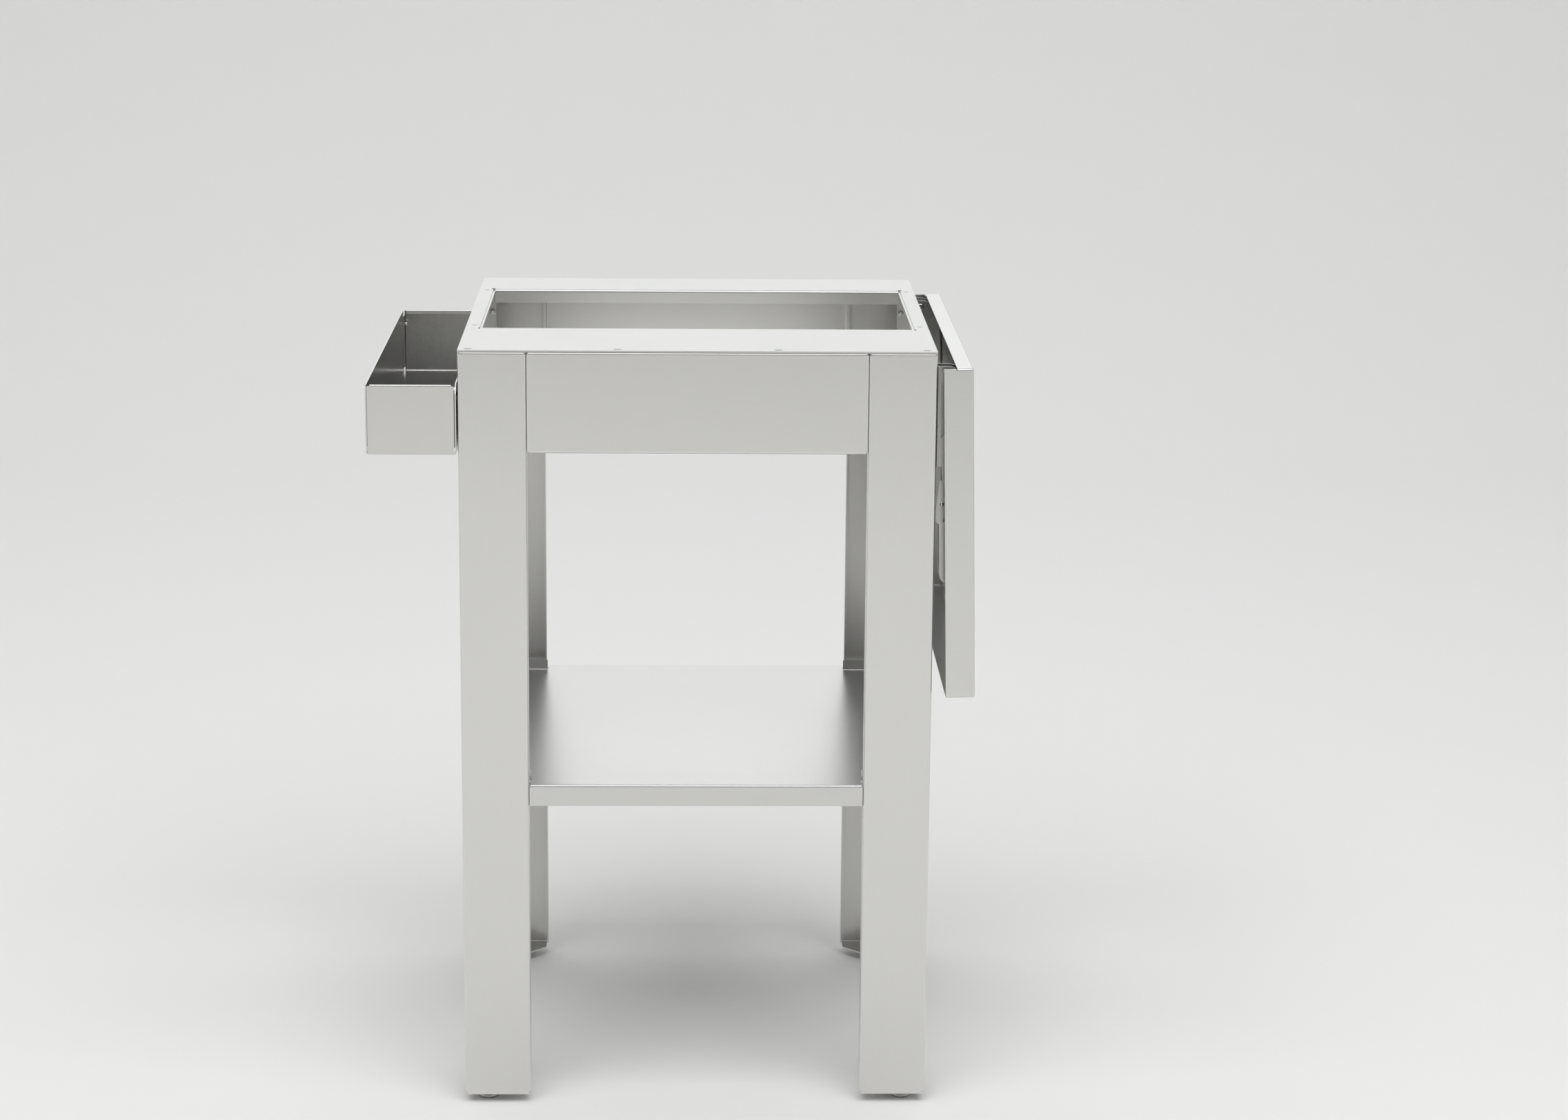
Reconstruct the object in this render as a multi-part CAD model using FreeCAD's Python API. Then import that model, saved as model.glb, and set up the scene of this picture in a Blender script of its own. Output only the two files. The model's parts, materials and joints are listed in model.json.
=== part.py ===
import FreeCAD, Part
import math
import os

# Grill stand of folded stainless sheet, in millimetres. Front is -Y, tray on -X, side table on +X.

# Stand
stand_width = 540.0
stand_depth = 540.0
top_height = 898.0
leg_clearance = 9.7          # floor to the underside of the foot plates
sheet = 1.5
inner_bend = 1.0
flange = 19.0                # width of every return, end flange and top flange
flange_gap = 1.0             # free space between two flanges that meet in a corner

# Legs
leg_face = 77.0
leg_relief = 5.0             # the leg's bends stop this far above the foot plate
foot_corner = 99.0           # where the cut-off corner of the foot plate crosses both leg faces, added up

# Panels
panel_drop = 118.0           # plate top to the panel's lower edge
side_bolt_drops = (30.6, 92.0)
front_bolt_drops = (70.0, 100.0)
bolt_inset = 14.5            # bolt axis behind the outer face

# Top plate
plate_sheet = 2.0
plate_corner = 2.0
opening_side = 16.6
opening_front = 155.5
opening_rear = 94.5
opening_flange = 17.0
opening_lean = 1.8           # lower end of a turned-down edge behind its bend
opening_gap = 2.4            # turned-down edge to the side of the opening
relief_depth = 8.0
relief_width = 4.0
front_stud_inset = 10.0
corner_stud_inset = 11.5
front_stud_spacing = 181.0
side_stud_inset = 9.5
side_stud_front = 18.0       # behind the opening's front edge
side_stud_rear = 6.0         # ahead of the opening's rear edge
front_stud_head = 4.4
side_stud_head = 2.8
stud_head_depth = 1.0
stud_edge = 0.3

# Shelf
shelf_height = 390.0
shelf_lip = 25.0
shelf_notch = 22.0           # shelf corner behind the leg's outer faces
shelf_upturn = 12.5
shelf_bolt_drop = 14.0

# Tray
tray_width = 102.0
tray_height = 80.0
tray_length = 536.0
tray_drop = 40.4             # plate top to the tray's rim
tray_gap = 2.0
tray_hem = 5.0
hem_bend = 0.3
hem_flare = 1.7              # free end of a hem off its wall
hem_stop = 5.3               # end walls' hems stop this far from the tray's sides
tray_tab = 20.0
tab_gap = 0.2
tab_drop = 6.0
tab_lift = 8.0               # tray's underside to the tab's lower edge
tray_rivet_drop = 17.0
tray_rivet_inset = 11.0
tray_cut = 8.0
tray_bolt_spacing = 240.0
tray_bolt_drops = (20.0, 58.0)

# Fasteners
bolt_radius = 2.0
bolt_play = 0.2
thread_play = 0.05
head_radius = 3.8
head_height = 2.4
nut_radius = 4.04
nut_height = 3.2
dome_radius = 3.2
dome_height = 3.0
stud_reach = 2.0             # thread past a nut
rivet_radius = 1.6
rivet_head_radius = 3.2
rivet_head_height = 1.0
rivet_tail = 4.0             # a blind rivet's upset end
rivet_tail_radius = 2.2

# Feet
foot_inset = 26.0
foot_radius = 12.5
foot_rim = 4.5
foot_neck_radius = 7.0
foot_neck_gap = 0.8
foot_stud_radius = 4.0
foot_stud_length = 34.0
foot_nut_radius = 7.5
foot_nut_height = 6.5
foot_hole_play = 0.5
pin_play = 0.05

# Side table and its fold
pivot_out = 12.5             # hinge axis from the stand's side
pivot_drop = 28.4            # hinge axis below the plate's top
table_gap = 2.7              # raised table to the top plate
table_length = 384.0
table_overhang = 2.7
table_lip = 33.6
hinge_lip = 18.7
lip_drop = 0.5               # free end of a side lip below the hinge lip
rest_tilt = 1.37             # degrees that the table hangs away from the stand
raised_angle = 90.0

# Folding brackets
bracket_inset = 30.0         # bracket's middle behind the stand's front face, and ahead of its rear face
bracket_sheet = 2.0
bracket_bend = 1.0
wall_channel = 20.4          # outer width of the wall channel
web_play = 0.3               # side play between the channels
web_reach = 8.5              # wall web past the hinge axis
web_top_play = 1.1
wall_tail = 27.0             # wall channel below the strut's pivot
wall_bolt_drops = (24.0, 54.0)
eye_radius = 8.0
eye_share = 0.9              # the eye's corners are rounded by this share of its radius
arm_waist = -1.0
arm_round = 1.0
arm_step_drop = 66.0
arm_edge = 8.4
arm_edge_low = 6.3
arm_edge_drop = 140.0
arm_tail = 10.6
arm_tail_drop = 145.0
arm_end = 9.5                # arm past the end of its guide slot
arm_end_round = 12.0
arm_stud_drops = (40.0, 105.0, 190.0)
arm_stud_reach = 7.4
arm_hole_drop = 169.0
arm_hole_across = -6.5
arm_hole_radius = 2.2
strut_drop = 80.0            # strut's pivot below the hinge axis
strut_length = 156.0
strut_sheet = 1.5
strut_half = 8.0
strut_share = 0.95           # the strut's ends are rounded by this share of its half width
strut_play = 0.4
slot_offset = 14.0           # ends of the guide slot, from the hinge axis towards the table
slot_play = 0.3
slot_samples = 9
slot_fineness = 1000         # the slot's direction is taken over this share of the whole fold
pin_radius = 3.0
pin_head_radius = 4.5
pin_head_height = 1.5
lever_sheet = 1.5
lever_drop = 150.0
lever_across = -7.2
lever_rivet_radius = 1.5
lever_up = 28.0
lever_down = 25.0
lever_back = 7.0
lever_sole = 6.5
lever_tip = 2.5
lever_front = 4.5
lever_heel = 4.0
lever_rounds = (4.0, 3.0, 1.0)
lever_head_radius = 2.4

V = FreeCAD.Vector
half_width = stand_width / 2
half_depth = stand_depth / 2
outer_bend = inner_bend + sheet
deck = top_height - plate_sheet
panel_bottom = top_height - panel_drop
front_span = stand_width - 2 * leg_face
side_span = stand_depth - 2 * leg_face
bolt_hole = bolt_radius + bolt_play
bracket_y = half_depth - bracket_inset
hinge_x = half_width + pivot_out
hinge_z = top_height - pivot_drop
table_half = half_depth + table_overhang
table_inner = pivot_drop - sheet
arm_half = wall_channel / 2 + web_play + bracket_sheet
strut_half_width = wall_channel / 2 - bracket_sheet - strut_play
tilt = math.radians(rest_tilt)

# The strut turns faster than the table by a fixed ratio, and the guide slot follows its far end
slot_start = math.asin(slot_offset / strut_length)
slot_finish = math.asin((strut_drop + slot_offset) / strut_length)
strut_ratio = 1 + (slot_finish - slot_start) / math.radians(raised_angle)

# The origin is under the middle of the whole part, so the stand is off it by half its sides' difference
tray_reach = tray_gap + tray_width + rivet_head_height
table_bottom = pivot_out - table_gap - table_length
table_reach = pivot_out + pivot_drop * math.cos(tilt) - (table_bottom + outer_bend) * math.sin(tilt)
stand_x = (tray_reach - table_reach) / 2

os.makedirs("parts", exist_ok=True)


def save(name, shapes):
    solids = shapes if isinstance(shapes, list) else [shapes]
    group = Part.makeCompound(solids) if len(solids) > 1 else solids[0].copy()
    group.translate(V(stand_x, 0, 0))
    group.exportStep("parts/%s.step" % name)


def box(x, y, z):
    return Part.makeBox(x[1] - x[0], y[1] - y[0], z[1] - z[0], V(x[0], y[0], z[0]))


def rod(radius, start, end):
    line = V(*end).sub(V(*start))
    return Part.makeCylinder(radius, line.Length, V(*start), line)


def fused(shapes):
    return shapes[0].fuse(shapes[1:]).removeSplitter()


def mirrored(shape, across_x, across_y):
    if across_x:
        shape = shape.mirror(V(0, 0, 0), V(1, 0, 0))
    if across_y:
        shape = shape.mirror(V(0, 0, 0), V(0, 1, 0))
    return shape


def turned(shape, degrees, about=(0, 0, 0), axis=(0, 0, 1)):
    copy = shape.copy()
    copy.rotate(V(*about), V(*axis), degrees)
    return copy


# Drawing planes: plan is X and Y, front is X and Z, side is Y and Z
planes = {
    "plan": (lambda u, v, w: V(u, v, w)),
    "front": (lambda u, v, w: V(u, w, v)),
    "side": (lambda u, v, w: V(w, u, v)),
}


def heading(a, b):
    length = math.hypot(b[0] - a[0], b[1] - a[1])
    return ((b[0] - a[0]) / length, (b[1] - a[1]) / length)


def along(point, direction, amount):
    return (point[0] + direction[0] * amount, point[1] + direction[1] * amount)


def leftward(point, direction, amount):
    return (point[0] - direction[1] * amount, point[1] + direction[0] * amount)


def corner(before, at, after):
    into = heading(before, at)
    out = heading(at, after)
    cross = into[0] * out[1] - into[1] * out[0]
    dot = into[0] * out[0] + into[1] * out[1]
    return into, out, math.atan2(cross, dot)


def prism(segments, plane, start, end):
    place = planes[plane]
    edges = []
    for segment in segments:
        points = [place(u, v, start) for u, v in segment]
        if points[0].distanceToPoint(points[-1]) < 1e-6:
            continue
        if len(points) == 2:
            edges.append(Part.makeLine(points[0], points[1]))
        else:
            edges.append(Part.Arc(*points).toShape())
    face = Part.Face(Part.Wire(Part.__sortEdges__(edges)))
    return face.extrude(place(0, 0, end).sub(place(0, 0, start)))


# A folded sheet: the points run along its outer side, and the sheet lies to their left
def folded(points, plane, start, end, thickness=sheet, bends=None):
    radii = bends or [inner_bend] * (len(points) - 2)
    first = heading(points[0], points[1])
    last = heading(points[-2], points[-1])
    segments = []
    for offset in (0.0, thickness):
        at = leftward(points[0], first, offset)
        for index, bend in enumerate(radii):
            into, out, turn = corner(*points[index:index + 3])
            side = math.copysign(1, turn)
            radius = bend + thickness if turn > 0 else bend
            reach = radius * math.tan(abs(turn) / 2)
            begin = along(points[index + 1], into, -reach)
            centre = leftward(begin, into, radius * side)
            middle = along(centre, heading(centre, points[index + 1]), radius - side * offset)
            arc = (leftward(begin, into, offset), middle,
                   leftward(along(points[index + 1], out, reach), out, offset))
            segments += [(at, arc[0]), arc]
            at = arc[2]
        segments.append((at, leftward(points[-1], last, offset)))
    segments.append((points[0], leftward(points[0], first, thickness)))
    segments.append((points[-1], leftward(points[-1], last, thickness)))
    return prism(segments, plane, start, end)


# A flat plate with rounded corners, each given as u, v and a radius
def plate(corners, plane, start, end):
    count = len(corners)
    segments = []
    ends = []
    for index in range(count):
        before, at, after = (corners[(index + step) % count] for step in (-1, 0, 1))
        into, out, turn = corner(before[:2], at[:2], after[:2])
        reach = at[2] * math.tan(abs(turn) / 2)
        begin = along(at[:2], into, -reach)
        finish = along(at[:2], out, reach)
        ends.append((begin, finish))
        if at[2] > 0:
            centre = leftward(begin, into, math.copysign(at[2], turn))
            segments.append((begin, along(centre, heading(centre, at[:2]), at[2]), finish))
    for index in range(count):
        segments.append((ends[index][1], ends[(index + 1) % count][0]))
    return prism(segments, plane, start, end)


# Fasteners, along a direction from the face that the head or nut sits on
def screw(at, direction, grip):
    head = Part.makeCylinder(head_radius, head_height, V(*at), V(*direction).multiply(-1))
    shank = Part.makeCylinder(bolt_radius, grip + nut_height, V(*at), V(*direction))
    return fused([head, shank])


def hexagon(radius, at, direction, height):
    axis = V(*direction)
    side = V(0, 0, 1) if abs(axis.z) < 0.5 else V(1, 0, 0)
    other = axis.cross(side)
    points = []
    for step in range(7):
        angle = math.radians(60 * step)
        points.append(V(*at).add(side * (radius * math.cos(angle))).add(other * (radius * math.sin(angle))))
    return Part.Face(Part.makePolygon(points)).extrude(axis * height)


def nut(at, direction, thread=bolt_radius, radius=nut_radius, height=nut_height):
    bore = Part.makeCylinder(thread + thread_play, height, V(*at), V(*direction))
    return hexagon(radius, at, direction, height).cut(bore)


def dome_nut(at, direction):
    axis = V(*direction)
    top = V(*at).add(axis * nut_height)
    cap = Part.makeCone(dome_radius, dome_radius / 2, dome_height, top, axis)
    bore = Part.makeCylinder(bolt_radius + thread_play, nut_height + thread_play, V(*at), axis)
    return fused([hexagon(nut_radius, at, direction, nut_height), cap]).cut(bore)


# Bolt places on the front left leg: along X in its front return, along Y in its side return
shelf_bolts = [shelf_height - shelf_bolt_drop]
front_heights = [top_height - drop for drop in front_bolt_drops]
side_heights = [top_height - drop for drop in side_bolt_drops]
front_bolt = (-half_width + leg_face, -half_depth + bolt_inset)
side_bolt = (-half_width + bolt_inset, -half_depth + leg_face)
foot_place = (-half_width + foot_inset, -half_depth + foot_inset)
corner_stud = (-half_width + corner_stud_inset, -half_depth + front_stud_inset)
corners = {"front_left": (False, False), "front_right": (True, False),
           "rear_left": (False, True), "rear_right": (True, True)}


def leg():
    left, front = -half_width, -half_depth
    section = [(left + flange, front + leg_face), (left, front + leg_face), (left, front),
               (left + leg_face, front), (left + leg_face, front + flange)]
    angle = folded(section, "plan", leg_clearance + leg_relief, deck - outer_bend)
    foot_plate_end = front + leg_face - sheet - flange_gap
    front_strip = [(front + flange, deck), (front, deck), (front, leg_clearance),
                   (foot_plate_end, leg_clearance)]
    front_face = folded(front_strip, "side", left + outer_bend, left + leg_face - outer_bend)
    side_strip = [(left + flange, deck), (left, deck), (left, leg_clearance + leg_relief)]
    side_face = folded(side_strip, "front", front + flange + flange_gap, front + leg_face - outer_bend)
    cut_off = [(left + leg_face, front + foot_corner - leg_face, 0), (left + leg_face, front + leg_face, 0),
               (left + foot_corner - leg_face, front + leg_face, 0)]
    body = fused([angle, front_face, side_face])
    body = body.cut(plate(cut_off, "plan", leg_clearance - sheet, leg_clearance + leg_relief))
    foot_top = leg_clearance + leg_relief
    holes = [rod(foot_stud_radius + foot_hole_play, (*foot_place, 0), (*foot_place, foot_top))]
    x, y = front_bolt
    holes += [rod(bolt_hole, (x - flange, y, z), (x + flange, y, z)) for z in front_heights + shelf_bolts]
    x, y = side_bolt
    holes += [rod(bolt_hole, (x, y - flange, z), (x, y + flange, z)) for z in side_heights + shelf_bolts]
    return body.cut(holes)


# Heights of the screws that hold a wall channel to its leg, and the nuts' side
wall_bolts = [hinge_z - drop for drop in wall_bolt_drops]


def make_legs():
    shape = leg()
    for name, (right, rear) in corners.items():
        piece = mirrored(shape, right, rear)
        holes = []
        if right:
            y = bracket_y if rear else -bracket_y
            near, far = half_width - flange, half_width + flange
            holes += [rod(bolt_hole, (near, y, z), (far, y, z)) for z in wall_bolts]
        if not rear:
            hole = rod(bolt_hole, (*corner_stud, deck - outer_bend), (*corner_stud, top_height))
            holes.append(mirrored(hole, right, rear))
        save("leg_" + name, piece.cut(holes) if holes else piece)


# A panel across the front, its face at -Y; studs are places along it with their inset
def panel(span, reach, studs, heights):
    end, front = span / 2, -reach
    upright = [(front + flange, deck), (front, deck), (front, panel_bottom), (front + flange, panel_bottom)]
    face = folded(upright, "side", -end + outer_bend, end - outer_bend)
    lying = [(-end, front + flange), (-end, front), (end, front), (end, front + flange)]
    ends = folded(lying, "plan", panel_bottom + outer_bend, deck - outer_bend)
    holes = [rod(bolt_hole, (x, front + inset, deck - outer_bend), (x, front + inset, top_height))
             for x, inset in studs]
    y = front + bolt_inset
    holes += [rod(bolt_hole, (-end - flange, y, z), (end + flange, y, z)) for z in heights]
    return fused([face, ends]).cut(holes)


front_studs = [(-front_stud_spacing / 2, front_stud_inset), (front_stud_spacing / 2, front_stud_inset)]
side_stud_y = (-half_depth + opening_front + side_stud_front, half_depth - opening_rear - side_stud_rear)
tray_rim = top_height - tray_drop
tray_bolts = [(y, tray_rim - drop) for y in (-tray_bolt_spacing / 2, tray_bolt_spacing / 2)
              for drop in tray_bolt_drops]


def make_panels():
    save("front_panel", panel(front_span, half_depth, front_studs, front_heights))
    save("rear_panel", turned(panel(front_span, half_depth, [], front_heights), 180))
    right_studs = [(y, side_stud_inset) for y in side_stud_y]
    save("right_panel", turned(panel(side_span, half_width, right_studs, side_heights), 90))
    left_studs = [(-y, side_stud_inset) for y in side_stud_y]
    left = turned(panel(side_span, half_width, left_studs, side_heights), -90)
    near, far = -half_width - flange, -half_width + flange
    holes = [rod(bolt_hole, (near, y, z), (far, y, z)) for y, z in tray_bolts]
    save("left_panel", left.cut(holes))


# Places of the plate's studs with the radius of each head
plate_studs = [(x * corner_stud[0], corner_stud[1], front_stud_head) for x in (-1, 1)]
plate_studs += [(x, -half_depth + inset, front_stud_head) for x, inset in front_studs]
side_stud_x = half_width - side_stud_inset
plate_studs += [(x * side_stud_x, y, side_stud_head) for x in (-1, 1) for y in side_stud_y]


def stud_head(x, y, radius, play):
    # The head's rim and its seat are both broken, so a fine ring shows round each stud
    floor = top_height - stud_head_depth
    head = rod(radius + play, (x, y, floor), (x, y, top_height))
    shank = rod(bolt_radius + play, (x, y, deck - sheet - nut_height - stud_reach), (x, y, floor))
    return head, shank


def make_plate():
    open_x = half_width - opening_side
    open_front = -half_depth + opening_front
    open_rear = half_depth - opening_rear
    outline = [(x, y, plate_corner) for x, y in ((-half_width, -half_depth), (half_width, -half_depth),
                                                 (half_width, half_depth), (-half_width, half_depth))]
    flat = plate(outline, "plan", deck, top_height)
    bend = plate_sheet + inner_bend
    span_y = (open_front - relief_depth / 2, open_rear + relief_depth / 2)
    flat = flat.cut(box((-open_x, open_x), span_y, (deck - bend, top_height + bend)))
    flap = open_x - opening_gap
    hang = top_height - opening_flange
    rear = [(open_rear + relief_depth, top_height), (open_rear, top_height), (open_rear + opening_lean, hang)]
    front = [(-open_front + relief_depth, top_height), (-open_front, top_height),
             (-open_front + opening_lean, hang)]
    edges = [folded(rear, "side", -flap, flap, plate_sheet),
             turned(folded(front, "side", -flap, flap, plate_sheet), 180)]
    shape = fused([flat] + edges)
    for x in (-1, 1):
        inner, outer = sorted((x * flap, x * (flap + relief_width)))
        for y, side in ((open_front, -1), (open_rear, 1)):
            near, far = sorted((y, y + side * relief_depth))
            shape = shape.cut(box((inner, outer), (near, far), (hang, top_height + bend)))
    seats = []
    for x, y, radius in plate_studs:
        seats += stud_head(x, y, radius, thread_play)
        edge = V(x, y, top_height - stud_edge)
        seats.append(Part.makeCone(radius + thread_play, radius + stud_edge, stud_edge, edge))
    save("top_plate", shape.cut(seats))


def make_plate_fasteners():
    studs = []
    for x, y, radius in plate_studs:
        head, shank = stud_head(x, y, radius, 0)
        below = rod(radius, (x, y, top_height - stud_head_depth), (x, y, top_height - stud_edge))
        rim = Part.makeCone(radius, radius - stud_edge, stud_edge, V(x, y, top_height - stud_edge))
        studs.append(fused([below, rim, shank]))
    save("plate_studs", studs)
    save("plate_nuts", [nut((x, y, deck - sheet), (0, 0, -1)) for x, y, radius in plate_studs])


# Bolts from the legs to the panels and the shelf: heads inside the legs, dome nuts beyond both flanges
def make_leg_bolts():
    for name, across, along_side in (("panel", front_heights, side_heights),
                                     ("shelf", shelf_bolts, shelf_bolts)):
        screws, nuts = [], []
        for right, rear in corners.values():
            x, y = front_bolt
            for z in across:
                screws.append(mirrored(screw((x - sheet, y, z), (1, 0, 0), 2 * sheet), right, rear))
                nuts.append(mirrored(dome_nut((x + sheet, y, z), (1, 0, 0)), right, rear))
            x, y = side_bolt
            for z in along_side:
                screws.append(mirrored(screw((x, y - sheet, z), (0, 1, 0), 2 * sheet), right, rear))
                nuts.append(mirrored(dome_nut((x, y + sheet, z), (0, 1, 0)), right, rear))
        save(name + "_screws", screws)
        save(name + "_dome_nuts", nuts)


def make_shelf():
    top, under = shelf_height, shelf_height - sheet
    front_end, side_end = front_span / 2 - outer_bend, side_span / 2 - outer_bend
    far_x, far_y = half_width - outer_bend, half_depth - outer_bend
    notch_x, notch_y = half_width - shelf_notch, half_depth - shelf_notch
    inner_x, inner_y = notch_x - outer_bend, notch_y - outer_bend
    quarter = [(far_x, side_end), (inner_x, side_end), (inner_x, inner_y),
               (front_end, inner_y), (front_end, far_y)]
    outline = quarter + [(-x, y) for x, y in reversed(quarter)]
    outline += [(-x, -y) for x, y in quarter] + [(x, -y) for x, y in reversed(quarter)]
    pieces = [plate([(x, y, 0) for x, y in outline], "plan", under, top)]
    for angle, span, reach in ((0, front_span, half_depth), (90, side_span, half_width),
                               (180, front_span, half_depth), (270, side_span, half_width)):
        end, edge = span / 2, -reach
        lip = [(edge + shelf_notch, top), (edge, top), (edge, top - shelf_lip)]
        lying = [(-end, edge + flange), (-end, edge), (end, edge), (end, edge + flange)]
        pieces.append(turned(folded(lip, "side", -end + outer_bend, end - outer_bend), angle))
        pieces.append(turned(folded(lying, "plan", top - shelf_lip, top - outer_bend), angle))
    front_upturn = [(-notch_y, top + shelf_upturn), (-notch_y, under), (-notch_y + shelf_notch, under)]
    side_upturn = [(-notch_x, top + shelf_upturn), (-notch_x, under), (-notch_x + shelf_notch, under)]
    upturns = [folded(front_upturn, "side", -notch_x + outer_bend, -front_end - flange_gap),
               folded(side_upturn, "front", -notch_y + outer_bend, -side_end - flange_gap)]
    for right, rear in corners.values():
        pieces += [mirrored(upturn, right, rear) for upturn in upturns]
    shape = fused(pieces)
    z = shelf_height - shelf_bolt_drop
    holes = []
    for right, rear in corners.values():
        x, y = front_bolt
        holes.append(mirrored(rod(bolt_hole, (x, y, z), (x + flange, y, z)), right, rear))
        x, y = side_bolt
        holes.append(mirrored(rod(bolt_hole, (x, y, z), (x, y + flange, z)), right, rear))
    save("shelf", shape.cut(holes))


# The tray's outer faces
tray_right = -half_width - tray_gap
tray_left = tray_right - tray_width
tray_bottom = tray_rim - tray_height
tray_half = tray_length / 2
hem_width = 2 * (sheet + hem_bend)


def tray_rivets_at():
    # The rivets' axes are along X, through the side walls and the end walls' tabs
    return [(x, side * (tray_half - tray_rivet_inset), tray_rim - tray_rivet_drop, out)
            for x, out in ((tray_left, -1), (tray_right, 1)) for side in (-1, 1)]


def make_tray():
    left, right, rim, floor = tray_left, tray_right, tray_rim, tray_bottom
    trough = [(left, rim), (left, floor), (right, floor), (right, rim)]
    pieces = [folded(trough, "front", -tray_half + outer_bend, tray_half - outer_bend)]
    front = -tray_half
    wall = [(front, rim - hem_width / 2), (front, floor), (front + tray_tab, floor)]
    hem_end = front + hem_width + hem_flare
    hem = [(hem_end, rim - tray_hem), (front + hem_width, rim), (front, rim), (front, floor),
           (front + tray_tab, floor)]
    tab_left, tab_right = left + sheet + tab_gap, right - sheet - tab_gap
    tab_end = front + tray_tab
    tabs = [(tab_left, tab_end), (tab_left, front), (tab_right, front), (tab_right, tab_end)]
    ends = [folded(wall, "side", left + outer_bend, right - outer_bend),
            folded(hem, "side", left + hem_stop, right - hem_stop, sheet, [hem_bend, hem_bend, inner_bend]),
            folded(tabs, "plan", floor + tab_lift, rim - tab_drop)]
    pieces += ends + [turned(end, 180, ((left + right) / 2, 0, 0)) for end in ends]
    shape = fused(pieces)
    holes = [rod(bolt_hole, (right - flange, y, z), (right + flange, y, z)) for y, z in tray_bolts]
    holes += [rod(rivet_radius, (x - flange * out, y, z), (x + flange * out, y, z))
              for x, y, z, out in tray_rivets_at()]
    for side in (-1, 1):
        at = side * (tray_half - outer_bend)
        run = tray_cut + outer_bend
        cut = [(at, rim, 0), (at - side * run, rim, 0), (at, rim - run, 0)]
        holes.append(plate(cut, "side", right - 2 * sheet, right + sheet))
    save("tray", shape.cut(holes))


def make_tray_fasteners():
    rivets = []
    grip = 2 * sheet + tab_gap
    for x, y, z, out in tray_rivets_at():
        inside = x - out * grip
        rivets.append(fused([rod(rivet_radius, (inside, y, z), (x, y, z)),
                             rod(rivet_head_radius, (x, y, z), (x + out * rivet_head_height, y, z)),
                             rod(rivet_tail_radius, (inside - out * rivet_tail, y, z), (inside, y, z))]))
    save("tray_rivets", rivets)
    spacers, screws, nuts = [], [], []
    for y, z in tray_bolts:
        collar = rod(head_radius, (tray_right, y, z), (-half_width, y, z))
        spacers.append(collar.cut(rod(bolt_hole, (tray_right, y, z), (-half_width, y, z))))
        screws.append(screw((tray_right - sheet, y, z), (1, 0, 0), 2 * sheet + tray_gap))
        nuts.append(dome_nut((-half_width + sheet, y, z), (1, 0, 0)))
    save("tray_spacers", spacers)
    save("tray_screws", screws)
    save("tray_dome_nuts", nuts)


def make_feet():
    x, y = foot_place
    neck_top = leg_clearance - foot_neck_gap
    seat = leg_clearance + sheet
    pad = fused([rod(foot_radius, (x, y, 0), (x, y, foot_rim)),
                 Part.makeCone(foot_radius, foot_neck_radius, neck_top - foot_rim, V(x, y, foot_rim))])
    pad = pad.cut(rod(foot_stud_radius, (x, y, foot_rim / 2), (x, y, leg_clearance)))
    stud = rod(foot_stud_radius, (x, y, foot_rim / 2), (x, y, foot_rim / 2 + foot_stud_length))
    holder = nut((x, y, seat), (0, 0, 1), foot_stud_radius, foot_nut_radius, foot_nut_height)
    nuts = []
    for name, (right, rear) in corners.items():
        save("foot_pad_" + name, mirrored(pad, right, rear))
        save("foot_stud_" + name, mirrored(stud, right, rear))
        nuts.append(mirrored(holder, right, rear))
    save("foot_nuts", nuts)


# Pieces of the side table are drawn hanging straight down, then turned to the angle at which it rests
def hung(shape):
    return turned(shape, rest_tilt, (hinge_x, 0, hinge_z), (0, -1, 0))


def make_table():
    face = hinge_x + pivot_drop
    top = hinge_z + pivot_out - table_gap
    bottom = top - table_length
    section = [(face - table_lip, bottom), (face, bottom), (face, top), (face - hinge_lip, top)]
    sides = [(face - table_lip, -table_half), (face, -table_half), (face, table_half),
             (face - table_lip, table_half)]
    pieces = [folded(section, "front", -table_half + outer_bend, table_half - outer_bend),
              folded(sides, "plan", bottom + outer_bend, top - outer_bend)]
    # Rounded seams close each side lip to the lower lip and the hinge lip, with a ball at the corner
    reach = 2 * outer_bend
    lower = [(-table_half, bottom + reach), (-table_half, bottom), (-table_half + reach, bottom)]
    upper = [(-table_half + reach, top), (-table_half, top), (-table_half, top - reach)]
    seams = [folded(lower, "side", face - table_lip, face - outer_bend),
             folded(upper, "side", face - hinge_lip, face - outer_bend),
             box((face - table_lip, face - hinge_lip - flange_gap), (-table_half, -table_half + sheet),
                 (top - reach, top - lip_drop))]
    for low, centre_z in ((bottom, bottom + outer_bend), (top - outer_bend, top - outer_bend)):
        centre = V(face - outer_bend, -table_half + outer_bend, centre_z)
        ball = Part.makeSphere(outer_bend, centre).cut(Part.makeSphere(inner_bend, centre))
        seams.append(ball.common(box((face - outer_bend, face), (-table_half, -table_half + outer_bend),
                                     (low, low + outer_bend))))
    pieces += seams + [mirrored(seam, False, True) for seam in seams]
    save("side_table", hung(fused(pieces)))


def bracket_outline(points, half):
    placed = [(hinge_x + x, hinge_z + z, radius) for x, z, radius in points]
    return plate(placed, "front", -bracket_y - half, -bracket_y + half)


# A channel open towards +X, or towards -X where its back is on the other side
def channel(back, mouth, half, thickness):
    side = half if mouth > back else -half
    points = [(mouth, -bracket_y + side), (back, -bracket_y + side), (back, -bracket_y - side),
              (mouth, -bracket_y - side)]
    return folded(points, "plan", hinge_z - table_length, hinge_z + pivot_drop, thickness,
                  [bracket_bend, bracket_bend])


def cross_pin(x, z, radius, half):
    at_x, at_z = hinge_x + x, hinge_z + z
    return rod(radius, (at_x, -bracket_y - half, at_z), (at_x, -bracket_y + half, at_z))


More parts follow.
